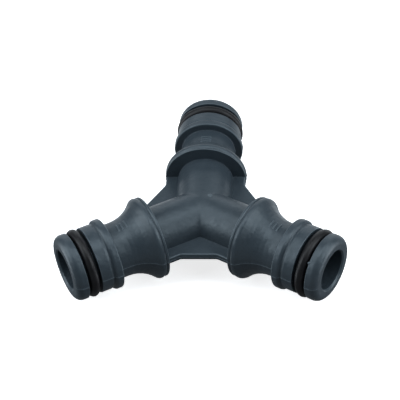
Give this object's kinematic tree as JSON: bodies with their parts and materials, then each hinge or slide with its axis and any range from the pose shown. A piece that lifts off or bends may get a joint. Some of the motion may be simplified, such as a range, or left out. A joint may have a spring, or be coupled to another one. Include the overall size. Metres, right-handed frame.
{
  "type": "hose coupler",
  "caption": "Y-shaped hose coupler: a moulded hub and web joining identical click-on nipples at equal angles, each with a collar, latch bead and O-ring.",
  "frame": {"origin": "the point where the three bore axes cross, which is also the centroid", "axes": "+Z at right angles to the plane of the three arms, +Y out along the rear arm; the left and right arms point to 210 and 330 degrees from +X"},
  "size_m": [0.0696, 0.0607, 0.0202],
  "materials": {
    "moulded_plastic": "satin moulded, dark blue-grey",
    "ring_rubber": "smooth black, slightly glossy"
  },
  "bodies": {
    "body": {"moulded_body": "moulded_plastic"},
    "rear_ring": {"o_ring_rear": "ring_rubber"},
    "left_ring": {"o_ring_left": "ring_rubber"},
    "right_ring": {"o_ring_right": "ring_rubber"}
  },
  "joints": [
    {"name": "rear_ring_turn", "type": "hinge", "parent": "body", "child": "rear_ring", "pos_m": [0, 0.0316, 0], "axis": [0, 1, 0], "continuous": true},
    {"name": "left_ring_turn", "type": "hinge", "parent": "body", "child": "left_ring", "pos_m": [-0.02737, -0.0158, 0], "axis": [-0.866, -0.5, 0], "continuous": true},
    {"name": "right_ring_turn", "type": "hinge", "parent": "body", "child": "right_ring", "pos_m": [0.02737, -0.0158, 0], "axis": [0.866, -0.5, 0], "continuous": true}
  ]
}
